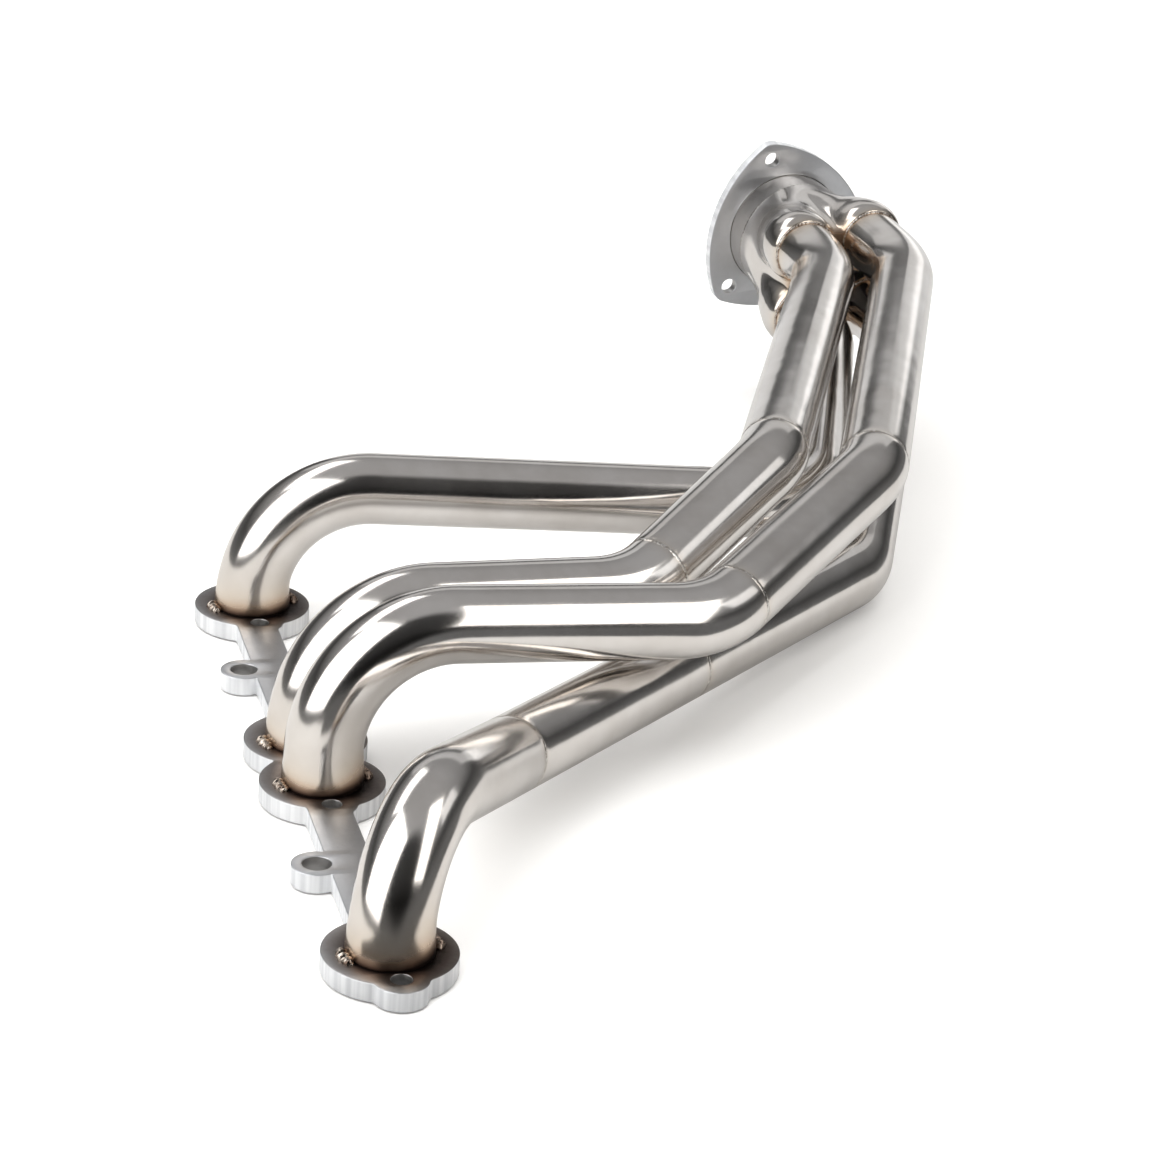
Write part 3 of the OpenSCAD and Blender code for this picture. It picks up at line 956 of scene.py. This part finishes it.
def polished_steel():
    """Mirror-polished stainless: faint haze, buffing marks, soft waviness and heat tint at the welds."""
    n = Surface("polished_steel")
    haze = n.noise(28, 4, 0.6)
    smudge = n.noise(9, 5, 0.65)
    fine = n.noise(900, 2, 0.5, (1.0, 1.0, 0.35))
    heat = n.node("ShaderNodeAttribute", attribute_name=TINT).outputs["Fac"]
    patchy = n.math("MULTIPLY", heat, n.span(smudge, 0.3, 0.7, 0.75, 1.3))
    clear, hazy = (0.81, 0.780, 0.750), (0.70, 0.662, 0.625)
    base = n.mix(n.span(haze, 0.35, 0.7, 0.0, 1.0), clear, hazy)
    colour = heat_colours(n, patchy, base)
    smeared = n.span(smudge, 0.35, 0.75, 0.11, 0.19)
    roughness = n.math("ADD", smeared, n.span(patchy, 0.1, 0.8, 0.0, 0.25))
    roughness = n.math("ADD", roughness, n.span(fine, 0.55, 0.75, 0.0, 0.03))
    wave = n.noise(34, 1.5, 0.4)
    normal = n.bump(wave, 0.22, 0.0012)
    normal = n.bump(fine, 0.05, 0.0001, normal)
    return n.finish(Base_Color=colour, Metallic=1.0, Roughness=roughness, Normal=normal)


def bore_steel():
    """Dull inside of the tubes."""
    n = Surface("bore_steel")
    patch = n.noise(60, 4, 0.6)
    colour = n.mix(patch, (0.30, 0.29, 0.28), (0.16, 0.155, 0.15))
    return n.finish(Base_Color=colour, Metallic=1.0, Roughness=n.span(patch, 0.3, 0.7, 0.45, 0.65))


def painted_shade_hole_wall():
    """Walls of the plates' holes, painted dark as the shade inside the holes, with faint rings left by the
    drill.
    """
    n = Surface("painted_shade_hole_wall")
    rings = n.noise(500, 2, 0.5, (0.2, 0.2, 1.0))
    # These low greys are painted shade for the inside of the holes; the rings between them are the drill's
    # marks
    colour = n.mix(rings, (0.34, 0.335, 0.33), (0.62, 0.61, 0.60))
    return n.finish(Base_Color=colour, Metallic=1.0, Roughness=n.span(rings, 0.3, 0.7, 0.35, 0.5))


def port_distance(n):
    """Distance in metres from the axis of the nearest port, across the head flange, and the X place."""
    xyz = n.node("ShaderNodeSeparateXYZ", {0: n.point})
    along = n.math("ABSOLUTE", xyz.outputs[1])
    outer = n.math("ABSOLUTE", n.math("SUBTRACT", along, PORT_Y[0] * MM))
    inner = n.math("ABSOLUTE", n.math("SUBTRACT", along, PORT_Y[1] * MM))
    nearest = n.math("MINIMUM", outer, inner)
    squares = n.math("ADD", n.math("POWER", xyz.outputs[0], 2.0), n.math("POWER", nearest, 2.0))
    return n.math("SQRT", squares), xyz.outputs[0]


def satin_steel(name, face_way, cut_stretch, sooty):
    """Satin plate: rolled grain on the faces, cutting marks on the pale rim, soot round the ports."""
    n = Surface(name)
    grain = n.noise(420, 4, 0.6)
    cloud = n.noise(22, 4, 0.6)
    speck = n.noise(1500, 2, 0.5)
    cuts = n.noise(260, 2, 0.5, cut_stretch)
    facing = n.vector_value("DOT_PRODUCT", n.node("ShaderNodeNewGeometry").outputs["Normal"], face_way)
    rim = n.span(n.math("ABSOLUTE", facing), 0.35, 0.7, 1.0, 0.0)
    face = n.mix(n.span(cloud, 0.35, 0.65, 0.0, 1.0), (0.63, 0.64, 0.66), (0.53, 0.54, 0.56))
    edge = n.mix(n.span(cuts, 0.35, 0.65, 0.0, 1.0), (0.62, 0.63, 0.645), (0.80, 0.81, 0.82))
    base = n.mix(rim, face, edge)
    roughness = n.math("ADD", n.span(grain, 0.3, 0.7, 0.30, 0.46), n.math("MULTIPLY", rim, 0.15))
    height = n.mix(rim, grain, cuts)
    normal = n.bump(height, 0.28, 0.00025)
    normal = n.bump(speck, 0.10, 0.0001, normal)
    colour = base
    if sooty:
        distance, x = port_distance(n)
        shifted = n.math("ADD", distance, n.span(x, -0.020, 0.024, *SOOT_SHIFT))
        ragged = n.math("ADD", shifted, n.span(cloud, 0.3, 0.7, -SOOT_RAGGED, SOOT_RAGGED))
        near = n.span(ragged, (TUBE_R - 1) * MM, (TUBE_R + SOOT_REACH) * MM, 1.0, 0.0)
        on_top = n.math("MULTIPLY", near, n.span(rim, 0.0, 0.6, 1.0, 0.1))
        colour = n.mix(1.0, base, n.ramp(on_top, [
            (0.0, (1.0, 1.0, 1.0)),
            (0.20, (0.78, 0.76, 0.74)),
            (0.45, (0.46, 0.42, 0.395)),
            (0.70, (0.28, 0.235, 0.21)),
            (0.88, (0.13, 0.095, 0.08)),
            (1.0, (0.06, 0.042, 0.035)),
        ]), "MULTIPLY")
    metallic = n.span(rim, 0.0, 1.0, 1.0, 0.35)
    return n.finish(Base_Color=colour, Metallic=metallic, Roughness=roughness, Normal=normal)


def weld_metal(name, dark, light, rough):
    """Rippled weld metal, mottled from brown oxide to bright."""
    n = Surface(name)
    mottle = n.noise(420, 3, 0.6)
    patch = n.noise(95, 3, 0.55)
    mixed = n.math("MULTIPLY", n.span(mottle, 0.36, 0.62, 0.0, 1.0), n.span(patch, 0.3, 0.6, 0.35, 1.0))
    colour = n.mix(mixed, dark, light)
    normal = n.bump(n.noise(700, 3, 0.6), 0.35, 0.0002)
    roughness = n.span(mottle, 0.3, 0.7, rough, rough + 0.2)
    return n.finish(Base_Color=colour, Metallic=1.0, Roughness=roughness, Normal=normal)


def floor_paint(name, grey, far_glow):
    """Plain pale matt surface. Its glow grows away from the object, where the lights do not reach."""
    n = Surface(name)
    warm, cool = (grey, grey * 0.99, grey * 0.97), (grey * 1.02, grey * 1.01, grey * 0.99)
    shade = n.mix(n.noise(3, 2, 0.5), warm, cool)
    away = n.vector_value("DISTANCE", n.point, CENTRE)
    glow = n.span(away, GLOW_FROM, GLOW_FULL, far_glow * GLOW_NEAR, far_glow)
    white = (1, 1, 1, 1)
    return n.finish(Base_Color=shade, Roughness=0.9, Emission_Color=white, Emission_Strength=glow)


STEEL = polished_steel()
BORE = bore_steel()
HOLE_WALL_SHADE = painted_shade_hole_wall()
HEAD_SATIN = satin_steel("satin_head_plate", (0, 0, 1), (1.0, 1.0, 0.04), True)
OUTLET_SATIN = satin_steel("satin_outlet_plate", tuple(OUT_DIR), (1.0, 0.04, 1.0), False)
TACK_METAL = weld_metal("tack_weld_metal", (0.13, 0.09, 0.07), (0.88, 0.80, 0.70), 0.16)
DARK_TACK = weld_metal("dark_tack_weld_metal", (0.07, 0.045, 0.035), (0.40, 0.32, 0.26), 0.22)
SEAM_METAL = weld_metal("seam_weld_metal", (0.52, 0.47, 0.42), (0.80, 0.78, 0.74), 0.12)
MOUTH_METAL = weld_metal("mouth_weld_metal", (0.30, 0.22, 0.17), (0.82, 0.79, 0.75), 0.15)


# ---- Build the pieces ----
TUBE_NODES = [
    ["port_tube_1", "merge_tube_1"],
    ["port_tube_2", "mid_tube_2", "merge_tube_2"],
    ["port_tube_3", "mid_tube_3", "merge_tube_3"],
    ["port_tube_4", "mid_tube_4", "merge_tube_4"],
]
SEAM_NODES = [
    ["butt_weld_1"],
    ["butt_weld_2a", "butt_weld_2b"],
    ["butt_weld_3a", "butt_weld_3b"],
    ["butt_weld_4a", "butt_weld_4b"],
]


def build_tubes():
    for k in range(4):
        cuts = [0.0] + SEAMS[k] + [LINES[k].length]
        for s0, s1, node in zip(cuts, cuts[1:], TUBE_NODES[k]):
            make_tube(node.replace("tube", "pipe"), k, s0, s1, node, [STEEL, BORE])
        for seam, node in zip(SEAMS[k], SEAM_NODES[k]):
            point, way = LINES[k].at(seam)
            bead_ring("bead_" + node, point, way, TUBE_R, SEAM_BEAD, node, SEAM_METAL)


def build_port_welds():
    for k in range(4):
        port_tacks(k, f"port_tacks_{k + 1}", [DARK_TACK, TACK_METAL])
        foot = np.array([0, PORT_Y[k], SEAT_Z - SEAL_DROP])
        node = f"port_seal_{k + 1}"
        bead_ring(f"seal_{k + 1}", foot, (0, 0, 1), TUBE_R, SEAL_BEAD, node, TACK_METAL)


def build_collector():
    make_collector_body([STEEL, BORE])
    make_neck([STEEL, BORE])
    make_plug(BORE)
    make_outlet_plate([OUTLET_SATIN, HOLE_WALL_SHADE])
    start = MOUTH_C + MERGE_LEN * OUT_DIR
    bead_ring("neck_bead", start, OUT_DIR, SHELL_END_R, NECK_BEAD, "neck_weld", SEAM_METAL)
    end = MOUTH_C + (COLLECTOR_LEN + OUTLET_T - FLANGE_BEAD_IN) * OUT_DIR
    bead_ring("outlet_bead", end, OUT_DIR, NECK_R, FLANGE_BEAD, "flange_weld", MOUTH_METAL)
    for k in range(4):
        node = f"mouth_weld_{k + 1}"
        bead_ring(f"mouth_bead_{k + 1}", mouth(k), OUT_DIR, TUBE_R, MOUTH_BEAD, node, MOUTH_METAL)


make_head_plate([HEAD_SATIN, HOLE_WALL_SHADE])
build_tubes()
build_port_welds()
build_collector()


# ---- Floor, light and camera, in metres ----
# The floor lies this far under the plate, and the mirrored table top this far over the floor
FLOOR_DROP = 0.0008
TABLE_LIFT = 0.0003
FLOOR_Z = CAD_BOX[0][2] - FLOOR_DROP
# How pale the two are, and how strongly the far floor glows
FLOOR_GREY = 0.93
TABLE_GREY = 0.62
FAR_GLOW = 0.7
FLOOR_CORNERS = [(-3.0, -3.0), (3.6, -3.0), (3.6, 4.2), (-3.0, 4.2)]
# The table's front edge has a bay in front of the nearest port, so that its tube mirrors the dark room there
TABLE_CORNERS = [
    (-0.60, -0.50), (-0.28, -0.42), (-0.10, -0.205), (0.04, -0.205), (0.10, -0.30),
    (0.22, -0.27), (0.30, -0.12), (1.1, 0.05), (1.1, 1.4), (-0.60, 1.4),
]
# Brightness of the room against the height of the mirrored direction, from straight down to straight up
ROOM_GREYS = [(-1.0, 0.12), (0.0, 0.14), (0.12, 0.09), (0.24, 0.05), (0.50, 0.24), (0.80, 0.36), (1.0, 0.40)]
# A direction in the middle of the darkest part of the room, behind the camera, how much light that part
# keeps, and the cosines of the angles from that direction at which it starts and is fully dark
DARK_WAY = (0.0, -0.839, 0.545)
DARK_KEEPS = 0.12
DARK_FROM = 0.78
DARK_FULL = 0.91
# Strength of the plain white that the camera sees past the floor
BACKDROP = 1.05
# Camera: place, direction in degrees (azimuth from +Y toward +X), tilt to the side, focal length
CAMERA_AT = (-0.2778, -1.4519, 0.7259)
CAMERA_AZ, CAMERA_EL, CAMERA_ROLL = (math.radians(a) for a in (15.6, -22.6, 3.9))
CAMERA_LENS = 104.6


def direction(azimuth, elevation):
    """Unit vector from angles in radians, azimuth from +Y toward +X."""
    flat = math.cos(elevation)
    return Vector((math.sin(azimuth) * flat, math.cos(azimuth) * flat, math.sin(elevation)))


def make_sheet(name, corners, z, material):
    """A flat level sheet with the given (x, y) corners."""
    mesh = bpy.data.meshes.new(name)
    mesh.from_pydata([(x, y, z) for x, y in corners], [], [tuple(range(len(corners)))])
    mesh.materials.append(material)
    sheet = bpy.data.objects.new(name, mesh)
    bpy.context.scene.collection.objects.link(sheet)
    return sheet


def make_floor():
    """The pale floor that is seen, and the smaller white table top that the polished metal mirrors."""
    paint = floor_paint("pale_floor", FLOOR_GREY, FAR_GLOW)
    floor = make_sheet("floor", FLOOR_CORNERS, FLOOR_Z, paint)
    floor.visible_glossy = False
    paint = floor_paint("table_paint", TABLE_GREY, 0.0)
    table = make_sheet("table_top", TABLE_CORNERS, FLOOR_Z + TABLE_LIFT, paint)
    table.visible_camera = False
    table.visible_diffuse = False
    table.visible_shadow = False


def make_light(name, azimuth, elevation, width, height, radiance, colour=(1, 1, 1), distance=2.0, roll=0):
    """A soft box facing the object. Angles are degrees, azimuth from +Y toward +X; sizes are metres."""
    data = bpy.data.lights.new(name, "AREA")
    data.shape = "RECTANGLE"
    data.size = width
    data.size_y = height
    data.energy = radiance * math.pi * width * height
    data.color = colour
    light = bpy.data.objects.new(name, data)
    bpy.context.scene.collection.objects.link(light)
    way = direction(math.radians(azimuth), math.radians(elevation))
    light.location = Vector(CENTRE) + distance * way
    facing = (-way).to_track_quat("-Z", "Y").to_matrix()
    light.rotation_euler = (facing @ Matrix.Rotation(math.radians(roll), 3, "Z")).to_euler()
    light.visible_camera = False
    return light


def make_world():
    """Dim room, charcoal near the horizon and grey overhead. The camera itself sees plain white."""
    world = bpy.data.worlds.new("studio")
    bpy.context.scene.world = world
    world.use_nodes = True
    world.node_tree.nodes.clear()
    n = Nodes(world.node_tree)
    way = n.node("ShaderNodeTexCoord").outputs["Generated"]
    height = n.node("ShaderNodeSeparateXYZ", {0: way}).outputs[2]
    greys = [((at + 1) / 2, (grey, grey, grey * 1.01)) for at, grey in ROOM_GREYS]
    colour = n.ramp(n.span(height, -1.0, 1.0, 0.0, 1.0), greys)
    toward_dark = n.vector_value("DOT_PRODUCT", way, DARK_WAY)
    limits = {0: toward_dark, 1: DARK_FROM, 2: DARK_FULL, 3: 1.0, 4: DARK_KEEPS}
    shade = n.node("ShaderNodeMapRange", limits, interpolation_type="SMOOTHSTEP").outputs[0]
    room = n.node("ShaderNodeBackground", {0: colour, 1: shade}).outputs[0]
    plain = n.node("ShaderNodeBackground", {0: (1, 1, 1, 1), 1: BACKDROP}).outputs[0]
    seen = n.node("ShaderNodeLightPath").outputs["Is Camera Ray"]
    mixed = n.node("ShaderNodeMixShader", {0: seen, 1: room, 2: plain}).outputs[0]
    n.node("ShaderNodeOutputWorld", {0: mixed})


def make_camera():
    data = bpy.data.cameras.new("camera")
    data.sensor_width = 36
    data.lens = CAMERA_LENS
    data.clip_end = 20
    camera = bpy.data.objects.new("camera", data)
    bpy.context.scene.collection.objects.link(camera)
    back = -direction(CAMERA_AZ, CAMERA_EL)
    level = Vector((0, 0, 1)).cross(back).normalized()
    right = math.cos(CAMERA_ROLL) * level + math.sin(CAMERA_ROLL) * back.cross(level)
    up = back.cross(right)
    m = Matrix.Identity(4)
    for i in range(3):
        m[i][0], m[i][1], m[i][2] = right[i], up[i], back[i]
    m.translation = Vector(CAMERA_AT)
    camera.matrix_world = m
    bpy.context.scene.camera = camera


bpy.context.scene.view_settings.view_transform = "Standard"
make_floor()
make_world()
# Soft boxes: azimuth, elevation, width, height, radiance
make_light("left_box", -112, 33, 2.05, 2.4, 2.2)
make_light("right_box", 138, 37, 0.85, 2.0, 2.2, (1.0, 0.98, 0.95), roll=-30)
make_light("right_strip", 103, 32, 0.8, 0.6, 0.8)
make_light("back_box", -37, 50, 1.5, 0.65, 1.8)
make_light("back_low", 22, 4, 1.7, 0.75, 0.66)
make_light("back_right", 38, 14, 0.60, 0.50, 0.60)
make_light("back_mid", 15, 30, 2.3, 0.50, 0.38)
ceiling = make_light("ceiling", 0, 89, 3.2, 3.2, 1.9, distance=2.4)
ceiling.visible_glossy = False
make_camera()
